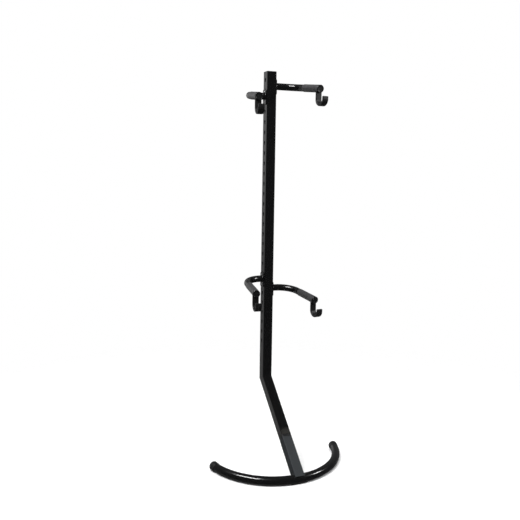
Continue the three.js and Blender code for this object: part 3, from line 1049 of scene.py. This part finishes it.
def make_floor_caps():
    """Rubber caps that thin towards the lip, with a rounded end and a flat sole."""
    inner = BASE_TUBE_RADIUS + GAP
    outer = inner + CAP_WALL
    for side, word in ((-1, "left"), (1, "right")):
        end = BASE_HALF_ANGLE + GAP / BASE_RADIUS
        lip = inner + CAP_LIP
        profile = [(0.0, 0.0), (inner - 3, 0.0), (inner, 0.0), (inner, -CAP_LENGTH / 2)]
        profile += [(inner, -CAP_LENGTH), (lip - 0.4, -CAP_LENGTH), (lip, 0.6 - CAP_LENGTH)]
        profile += [(lip + 0.35, CAP_LENGTH * 0.1 - CAP_LENGTH), (outer - 0.5, -CAP_LENGTH * 0.6)]
        profile += [(outer - 0.1, -CAP_LENGTH * 0.35), (outer, -CAP_LENGTH * 0.15), (outer, 0.0)]
        for i in range(1, 15):
            angle = i / 14 * math.pi / 2
            profile.append((outer * math.cos(angle) ** 0.62, CAP_DOME * math.sin(angle)))
        rings = []
        for radius, along in profile:
            if along <= 0:
                ring = arc_ring(circle(radius), side * (end + along / BASE_RADIUS))
            else:
                outwards = Vector((math.sin(side * end), -math.cos(end), 0))
                tangent = Vector((side * math.cos(end), math.sin(end), 0))
                at = arc_point(side * end) + tangent * along
                ring = ring_across(circle(radius), at, outwards, Z_AXIS)
            rings.append([Vector((v.x, v.y, max(v.z, 0.0))) for v in ring])
        cap = new_piece(f"base_cap_{word}_moulded", *loft(rings))
        place_piece(shade(cap, 40), black_rubber, "stand", f"base_cap_{word}")


def make_floor_strip():
    """Its top follows the tube, its sole has three grooves along the arc."""
    saddle = []
    half = math.asin(STRIP_HALF_WIDTH / (BASE_TUBE_RADIUS + GAP))
    for i in range(13):
        angle = -math.pi / 2 + half * (1 - 2 * i / 12)
        reach = BASE_TUBE_RADIUS + GAP
        saddle.append((reach * math.cos(angle), reach * math.sin(angle)))
    sole = [(-STRIP_HALF_WIDTH, -BASE_HEIGHT)]
    for centre in (-5.0, 0.0, 5.0):
        for off, up in ((-1.0, 0), (-0.6, GROOVE_DEPTH), (0.6, GROOVE_DEPTH), (1.0, 0)):
            sole.append((centre + off, -BASE_HEIGHT + up))
    sole.append((STRIP_HALF_WIDTH, -BASE_HEIGHT))
    rings = []
    for i in range(25):
        rings.append(arc_ring(saddle + sole, STRIP_HALF_ANGLE * (2 * i / 24 - 1)))
    strip = new_piece("floor_strip_extruded", *loft(rings))
    place_piece(shade(strip, 25), black_rubber, "stand", "floor_strip")


# Fasteners: each is turned about Z with its head up, then laid with its head towards the wall

HEAD_TO_WALL = Matrix.Rotation(-math.pi / 2, 4, "X")


def button_head(radius, height, socket, depth):
    """A domed head with a hexagon socket, from its seat up."""
    profile = [(radius - 0.4, GAP), (radius, GAP + 0.4), (radius, height / 3)]
    crown = socket / 2 / math.cos(math.pi / 6) + 0.5
    for i in range(1, 9):
        angle = i / 8 * math.pi / 2
        profile.append(
            (crown + (radius - crown) * math.cos(angle), height / 3 + height * 2 / 3 * math.sin(angle))
        )
    profile += [(hexagon(socket), height - 0.3), (hexagon(socket), height - depth)]
    profile += [(hexagon(socket * 0.5), height - depth - 0.5), (0.0, height - depth - 0.6)]
    return profile


def thread(radius, start, end, pitch):
    """The rings of a thread, drawn as ridges."""
    count = max(2, round(abs(end - start) / pitch))
    rings = []
    for i in range(count):
        for share, cut_in in ((0.0, 0.35), (0.5, 0.0)):
            rings.append((radius - cut_in, start + (end - start) * (i + share) / count))
    rings.append((radius - 0.35, end))
    return rings


def bolt_piece(name, place, length):
    profile = [(0.0, -length), (BOLT_RADIUS - 0.8, -length)]
    profile += thread(BOLT_RADIUS, -length + 0.8, -length / 2, 1.25)
    profile += [(BOLT_RADIUS, -length / 2 + 0.5), (BOLT_RADIUS, GAP)]
    profile += button_head(BOLT_HEAD_RADIUS, BOLT_HEAD_HEIGHT, BOLT_SOCKET, BOLT_SOCKET_DEPTH)
    return new_piece(name, *turned(profile), place)


def nut_piece(name, place):
    bore = BOLT_RADIUS + GAP
    flats = hexagon(NUT_FLATS)
    round_face = NUT_FLATS / 2 + 0.1
    face = []
    for x, y in flats:
        share = min(1.0, round_face / math.hypot(x, y))
        face.append((share * x, share * y))
    drop = (NUT_FLATS / 2 / math.cos(math.pi / 6) - NUT_FLATS / 2) * 0.6
    profile = [(bore, 0.0), (face, 0.0), (flats, -drop), (flats, drop - NUT_HEIGHT)]
    profile += [(face, -NUT_HEIGHT), (bore, -NUT_HEIGHT)]
    return new_piece(name, *turned(profile, "looped"), place)


def bolted_pair(name, place):
    nut_face = POST_HALF - POST_WALL - GAP - LINER_WALL - GAP
    length = POST_HALF - nut_face + NUT_HEIGHT
    at_head = place @ Matrix.Translation((0, POST_HALF, 0)) @ HEAD_TO_WALL
    bolt = bolt_piece(f"{name}_bolt_turned", at_head, length)
    place_piece(shade(bolt, 30), gloss_black_coat, "stand", f"{name}_bolt")
    at_nut = place @ Matrix.Translation((0, nut_face, 0)) @ HEAD_TO_WALL
    nut = nut_piece(f"{name}_nut_forged", at_nut)
    place_piece(shade(nut, 30), zinc, "stand", f"{name}_nut")


def make_joints():
    for word, end in (("lower", -1), ("upper", 1)):
        up_leg = BAND_MIDDLE + end * LEG_BOLT_SPACING / 2
        bolted_pair(f"leg_{word}", LEG_PLACE @ Matrix.Translation((0, 0, up_leg)))
        up_post = JOINT_HEIGHT + end * POST_BOLT_SPACING / 2
        bolted_pair(f"post_{word}", AT_POST @ Matrix.Translation((0, 0, up_post)))
    for liner in ("leg_sleeve", "post_sleeve"):
        finish_node(liner, gloss_black_coat)


def make_wall_buffers():
    """Rubber blocks with soft edges, each on a screw sunk in a recess."""
    for word, height in BUFFER_HEIGHTS.items():
        at = Matrix.Translation((0, POST_Y + POST_HALF, height)) @ HEAD_TO_WALL
        rings = []
        for inset, z in ((0.6, GAP), (0.0, GAP + 0.6)):
            width = BUFFER_SIZE - 2 * inset
            rings.append(level_ring(rounded_rectangle(width, width, BUFFER_CORNER - inset), z))
        for i in range(6):
            angle = i / 5 * math.pi / 2
            inset = BUFFER_EDGE * (1 - math.cos(angle))
            width = BUFFER_SIZE - 2 * inset
            z = GAP + BUFFER_THICKNESS - BUFFER_EDGE * (1 - math.sin(angle))
            rings.append(level_ring(rounded_rectangle(width, width, BUFFER_CORNER - inset), z))
        block = new_piece(f"wall_buffer_{word}_moulded", *loft(rings), at)
        top = BUFFER_THICKNESS + CUT_PAST
        holes = []
        for radius, bottom in ((SCREW_RADIUS, -CUT_PAST), (SCREW_HEAD_RADIUS, SCREW_SEAT)):
            hole = turned([(radius + GAP, bottom), (radius + GAP, top)])
            holes.append(new_piece("cutter", *hole, at))
        cut(block, *holes)
        place_piece(shade(block, 30), black_rubber, "stand", f"wall_buffer_{word}")
        profile = [(0.0, -SCREW_LENGTH), (SCREW_RADIUS * 0.4, 1.5 - SCREW_LENGTH)]
        profile += thread(SCREW_RADIUS, 2.5 - SCREW_LENGTH, -2.0, 1.6)
        profile += [(SCREW_RADIUS, -1.5), (SCREW_RADIUS, 0.0)]
        head = button_head(SCREW_HEAD_RADIUS, SCREW_HEAD_HEIGHT, SCREW_RECESS_FLATS, 1.4)
        profile += [(shape, z - GAP if i < 2 else z) for i, (shape, z) in enumerate(head)]
        seat = at @ Matrix.Translation((0, 0, SCREW_SEAT + GAP))
        screw = new_piece(f"wall_buffer_{word}_screw_turned", *turned(profile), seat)
        place_piece(shade(screw, 30), zinc, "stand", f"wall_buffer_{word}_screw")


# Arms


def arm_path(side, bend_steps=40):
    """(point, direction) along the arm's level centre line, from the bracket's face."""
    stations = [(Vector((side * GAP, 0, 0)), Vector((side, 0, 0)))]
    for i in range(bend_steps + 1):
        angle = ARM_BEND * i / bend_steps
        at = Vector(
            (
                side * (ARM_START + ARM_BEND_RADIUS * math.sin(angle)),
                -ARM_BEND_RADIUS * (1 - math.cos(angle)),
                0,
            )
        )
        stations.append((at, Vector((side * math.cos(angle), -math.sin(angle), 0))))
    at, direction = stations[-1]
    for i in range(1, 5):
        stations.append((at + direction * (ARM_REACH * i / 4), direction))
    return stations


def hook_path():
    """The middle of the hook's bar in Y and Z, with its direction: down, round and up."""
    centre = HOOK_SETBACK - HOOK_CLEAR_RADIUS
    middle = HOOK_CLEAR_RADIUS + HOOK_THICKNESS / 2
    stations = []
    for i in range(5):
        z = -ARM_RADIUS * 0.5 + (-HOOK_DEPTH + ARM_RADIUS * 0.5) * i / 4
        stations.append((Vector((0, centre + middle, z)), Vector((0, 0, -1))))
    for i in range(1, 37):
        angle = -math.pi * i / 36
        at = Vector((0, centre + middle * math.cos(angle), -HOOK_DEPTH + middle * math.sin(angle)))
        stations.append((at, Vector((0, math.sin(angle), -math.cos(angle)))))
    lip = HOOK_LIP - HOOK_ROUNDING
    for i in range(1, 4):
        at = Vector((0, centre - middle, -HOOK_DEPTH + lip * i / 3))
        stations.append((at, Vector((0, 0, 1))))
    for i in range(1, 8):
        angle = i / 7 * math.pi / 2
        at = Vector((0, centre - middle, -HOOK_DEPTH + lip + HOOK_ROUNDING * math.sin(angle)))
        stations.append((at, Vector((0, 0, 1))))
    return stations


def hook_rings(grow):
    """Rings of the rubber over the hook's bar, larger all round by grow."""
    rings = []
    stations = hook_path()
    for i, (at, direction) in enumerate(stations):
        inwards = X_AXIS.cross(direction)
        past = i - (len(stations) - 8)
        inset = 0.0
        if past > 0:
            inset = HOOK_ROUNDING * (1 - math.cos(past / 7 * math.pi / 2))
        width = HOOK_WIDTH + 2 * grow - 2 * inset
        thickness = HOOK_THICKNESS + 2 * grow - 2 * inset
        corner = max(0.3, HOOK_ROUNDING + grow - inset)
        outline = rounded_rectangle(width, thickness, corner, 6)
        rings.append(ring_across(outline, at, X_AXIS, inwards))
    return rings


def stud_profile():
    """Its head inside the post, its neck through the wall and the bracket, its rivet outside."""
    head_face = BRACKET_THICKNESS + GAP + POST_WALL + GAP
    foot = -head_face - STUD_HEAD_HEIGHT
    profile = [(0.0, foot), (STUD_HEAD_RADIUS - 0.7, foot)]
    profile += [(STUD_HEAD_RADIUS, 0.6 - head_face - STUD_HEAD_HEIGHT)]
    profile += [(STUD_HEAD_RADIUS, -head_face - 0.3), (STUD_HEAD_RADIUS - 0.3, -head_face)]
    profile += [(STUD_RADIUS, -head_face), (STUD_RADIUS, GAP), (RIVET_RADIUS - 0.1, GAP)]
    for i in range(7):
        angle = i / 6 * math.pi / 2
        height = GAP + 0.1 + (RIVET_HEIGHT - GAP - 0.1) * math.sin(angle)
        profile.append((RIVET_RADIUS * math.cos(angle), height))
    return profile


def make_arm(name, side, root_height):
    """The name is also that of the body that the arm rides on."""
    body = name
    root = Matrix.Translation(
        (side * (POST_HALF + GAP + BRACKET_THICKNESS), POST_Y, root_height)
    )
    droop = root @ Matrix.Rotation(ARM_DROOP, 4, "X")
    stations = arm_path(side)
    end, direction = stations[-1]
    to_front = Matrix.Rotation(math.atan2(direction.x, -direction.y), 4, "Z")
    at_end = droop @ Matrix.Translation(end) @ to_front
    drooped_end = Matrix.Rotation(ARM_DROOP, 3, "X") @ end
    at_hook = root @ Matrix.Translation(drooped_end) @ to_front

    # Tube
    rings = [ring_across(circle(ARM_RADIUS), at, d.cross(Z_AXIS), Z_AXIS) for at, d in stations]
    bore = ARM_RADIUS - ARM_WALL
    rings += [
        ring_across(circle(bore), at, d.cross(Z_AXIS), Z_AXIS) for at, d in reversed(stations)
    ]
    tube = new_piece(f"{name}_tube_coated", *loft(rings, "looped"), droop)
    place_piece(shade(soften(tube, 0.3)), gloss_black_coat, body, f"{name}_tube")

    # Weld round the root of the tube
    reach = ARM_RADIUS + 0.6
    seam = []
    for i in range(65):
        angle = 2 * math.pi * i / 64
        seam.append(Vector((side * 1.1, reach * math.cos(angle), reach * math.sin(angle))))
    weld_bead(
        f"{name}_root_weld",
        seam,
        lambda at: Vector((side * 12, at.y, at.z)),
        ROOT_BEAD,
        droop,
        body,
        True,
    )

    # Sleeve: lies along +Y from the end of the tube, notched for the hook
    inner = ARM_RADIUS + GAP
    outer = inner + SLEEVE_WALL
    profile = [(inner, GAP), (outer - 0.4, GAP), (outer, GAP + 0.5)]
    profile += [(outer, SLEEVE_LENGTH * share) for share in (0.25, 0.5, 0.75)]
    profile += [(outer, SLEEVE_LENGTH - 0.7), (outer - 0.5, SLEEVE_LENGTH), (inner, SLEEVE_LENGTH)]
    profile += [(inner, SLEEVE_LENGTH * share) for share in (0.75, 0.5, 0.25)]
    sleeve = new_piece(f"{name}_sleeve_extruded", *loft(along_y(profile), "looped"), at_end)
    notch = new_piece("cutter", *loft(hook_rings(GAP)), at_hook)
    cut(sleeve, notch)
    place_piece(shade(sleeve, 30), grey_sleeve_rubber, body, f"{name}_sleeve")

    # Cap in the end: a rolled rim round a dished face
    rim = ARM_RADIUS + GAP + SLEEVE_WALL
    plug = ARM_RADIUS - ARM_WALL - GAP
    profile = [(0.0, END_DISH - END_RIM), (rim * 0.35, END_DISH - END_RIM)]
    profile += [(rim * 0.62, END_DISH * 0.95 - END_RIM), (rim * 0.74, END_DISH * 0.7 - END_RIM)]
    roll = 2.1
    for i in range(11):
        angle = math.pi * (1 - i / 10)
        lift = roll * math.sin(angle)
        profile.append((rim - roll + roll * math.cos(angle), roll - END_RIM - lift))
    profile += [(rim, -GAP), (rim - 0.3, 0.0), (plug, 0.0), (plug, END_PLUG - 0.8)]
    profile += [(plug - 0.8, END_PLUG), (plug - END_PLUG_WALL, END_PLUG)]
    profile += [(plug - END_PLUG_WALL, END_DISH), (0.0, END_DISH)]
    rings = along_y([(radius, y - GAP) for radius, y in profile])
    cap =new_piece(f"{name}_end_cap_moulded", *loft(rings), at_end)
    place_piece(shade(cap, 40), black_plastic, body, f"{name}_end_cap")
    cap.data.materials.append(dark_plastic)
    face_middle = at_end @ Vector((0, -END_RIM, 0)) * MM
    for polygon in cap.data.polygons:
        if (polygon.center - face_middle).length < rim * 0.72 * MM:
            polygon.material_index = 1

    # Hook: the rubber over its bar, cut to fit under the tube
    rubber_hook = new_piece(f"{name}_hook_dipped", *loft(hook_rings(0.0)), at_hook)
    ends = (-HOOK_DEPTH, HOOK_DEPTH + HOOK_CLEAR_RADIUS)
    under = along_y([(ARM_RADIUS + GAP, y) for y in ends])
    cut(rubber_hook, new_piece("cutter", *loft(under), at_end))
    place_piece(shade(rubber_hook, 35), black_rubber, body, f"{name}_hook_rubber")
    finish_node(f"{name}_hook", gloss_black_coat)

    # Bracket with its two studs
    mount = root @ Matrix.Translation((0, 0, -ARM_RISE))
    if side < 0:
        mount = mount @ Matrix.Rotation(math.pi, 4, "Z")
    outline = rounded_rectangle(BRACKET_WIDTH, BRACKET_HEIGHT, BRACKET_CORNER)
    rings = [[Vector((x, y, z)) for y, z in outline] for x in (-BRACKET_THICKNESS, 0)]
    plate = new_piece(f"{name}_bracket_coated", *loft(rings), mount)
    holes = []
    for end_sign in (-1, 1):
        z = end_sign * KEYHOLE_PITCH / 2
        rings = [
            [Vector((x, y, z + h)) for y, h in circle(STUD_RADIUS + GAP, 32)]
            for x in (-BRACKET_THICKNESS - CUT_PAST, CUT_PAST)
        ]
        holes.append(new_piece("cutter", *loft(rings), mount))
    cut(plate, *holes)
    place_piece(shade(soften(plate, 0.7, 3)), gloss_black_coat, body, f"{name}_bracket")
    for word, end_sign in (("lower", -1), ("upper", 1)):
        at = mount @ Matrix.Translation((0, 0, end_sign * KEYHOLE_PITCH / 2))
        at = at @ Matrix.Rotation(math.pi / 2, 4, "Y")
        stud = new_piece(f"{name}_{word}_stud_turned", *turned(stud_profile()), at)
        place_piece(shade(stud, 35), zinc, body, f"{name}_{word}_stud")


def root_height(lower_keyhole):
    """Of an arm whose lower stud hangs in that keyhole, counted down from the top."""
    seat = TOP_KEYHOLE - lower_keyhole * KEYHOLE_PITCH - SLOT_DROP
    return seat + KEYHOLE_PITCH / 2 + ARM_RISE


# Studio

WALL_SEEN = (-0.395, 0.918, 0.0)  # where the left sides of the post and the leg mirror the room
FRONT_LIGHT, BACK_LIGHT = 0.058, 0.11


def light_panel(name, at, distance, direction, width, height, watts, seen_in_gloss=True):
    """A soft box that faces a point, seen from there in a direction at a distance in metres."""
    data = bpy.data.lights.new(name, "AREA")
    data.shape, data.size, data.size_y, data.energy = "RECTANGLE", width, height, watts
    panel = bpy.data.objects.new(name, data)
    way = Vector(direction).normalized()
    panel.location = Vector(at) + way * distance
    panel.rotation_mode = "QUATERNION"
    panel.rotation_quaternion = (-way).to_track_quat("-Z", "Y")
    panel.visible_glossy = seen_in_gloss
    bpy.context.scene.collection.objects.link(panel)


def make_studio():
    scene = bpy.context.scene
    scene.view_settings.view_transform = "Standard"
    world = bpy.data.worlds.new("studio")
    scene.world = world
    world.use_nodes = True
    tree = world.node_tree
    tree.nodes.clear()
    place = add(tree, "ShaderNodeTexCoord").outputs["Generated"]
    # In reflections the room is dim, with a pale wall behind the tower on the left, paler upwards
    wall = add(
        tree, "ShaderNodeVectorMath", {0: place, 1: WALL_SEEN}, operation="DOT_PRODUCT"
    )
    across = add(
        tree,
        "ShaderNodeMapRange",
        {"Value": wall.outputs["Value"], "From Min": 0.8, "From Max": 0.97},
        interpolation_type="SMOOTHSTEP",
    )
    way = add(tree, "ShaderNodeSeparateXYZ", {"Vector": place})
    upwards = add(
        tree,
        "ShaderNodeMapRange",
        {
            "Value": way.outputs["Z"],
            "From Min": -0.15,
            "From Max": 0.15,
            "To Min": 0.14,
            "To Max": 0.47,
        },
    )
    behind = add(
        tree,
        "ShaderNodeMapRange",
        {
            "Value": way.outputs["Y"],
            "From Min": -0.1,
            "From Max": 0.6,
            "To Min": FRONT_LIGHT,
            "To Max": BACK_LIGHT,
        },
        interpolation_type="SMOOTHSTEP",
    )
    depth = add(
        tree,
        "ShaderNodeMath",
        {0: across.outputs["Result"], 1: upwards.outputs["Result"], 2: behind.outputs["Result"]},
        operation="MULTIPLY_ADD",
    )
    dim = add(
        tree, "ShaderNodeBackground", {"Color": linear("#ffffff"), "Strength": depth.outputs["Value"]}
    )
    white = add(tree, "ShaderNodeBackground", {"Color": linear("#ffffff"), "Strength": 1.0})
    shown = add(
        tree,
        "ShaderNodeMixShader",
        {
            0: add(tree, "ShaderNodeLightPath").outputs["Is Camera Ray"],
            1: dim.outputs["Background"],
            2: white.outputs["Background"],
        },
    )
    add(tree, "ShaderNodeOutputWorld", {"Surface": shown.outputs["Shader"]})

    left_streak, right_streak = (-0.22, -0.155, 0.037), (0.08, -0.218, 0.039)
    middle = (0, 0, 1)
    light_panel("left_softbox", left_streak, 6.0, (-0.49, -0.15, 0.86), 3.2, 1.0, 290)
    light_panel("right_softbox", right_streak, 6.0, (0.747, -0.359, 0.558), 1.6, 0.8, 105)
    light_panel("overhead_panel", middle, 3.4, (0, -0.2, 1), 4.0, 4.0, 175, seen_in_gloss=False)

    # The leg is flagged off from the left softbox, which would draw a bright line down its corner
    flagged = bpy.data.collections.new("flagged_from_left_softbox")
    flagged.objects.link(bpy.data.objects["leg_tube_coated"])
    flagged.collection_objects[0].light_linking.link_state = "EXCLUDE"
    bpy.data.objects["left_softbox"].light_linking.receiver_collection = flagged

    # A pale matt floor that fades into the white round it
    steps = 96
    radius = 2600.0
    rings = [
        [Vector((radius * share * x, radius * share * y, 0)) for x, y in circle(1.0, steps)]
        for share in (0.02, 0.25, 0.5, 0.75, 1.0)
    ]
    vertices, faces = loft(rings, "open")
    faces.append(tuple(range(steps)))
    floor = new_piece("studio_floor", vertices, faces, Matrix.Translation((0, 0, -0.2)))
    if floor.data.polygons[0].normal.z < 0:
        floor.data.flip_normals()
    material, tree, place = new_material("pale_floor")
    away = add(tree, "ShaderNodeVectorMath", {0: place}, operation="LENGTH")
    fade = add(
        tree,
        "ShaderNodeMapRange",
        {
            "Value": away.outputs["Value"],
            "From Min": radius * MM * 0.3,
            "From Max": radius * MM * 0.95,
            "To Min": 1.0,
            "To Max": 0.0,
        },
        interpolation_type="SMOOTHSTEP",
    )
    shader = add(
        tree,
        "ShaderNodeBsdfPrincipled",
        {
            "Base Color": linear("#fbfbfb"),
            "Roughness": 0.9,
            "Specular IOR Level": 0.1,
            "Alpha": fade.outputs["Result"],
        },
    )
    finish_material(tree, shader)
    floor.data.materials.append(material)
    floor.visible_glossy = False


make_post()
make_post_cap()
make_leg()
make_floor_tube()
make_floor_caps()
make_floor_strip()
make_joints()
make_wall_buffers()
make_arm("upper_right_arm", 1, root_height(1))
make_arm("upper_left_arm", -1, root_height(2))
make_arm("lower_right_arm", 1, root_height(21))
make_arm("lower_left_arm", -1, root_height(20))
make_studio()
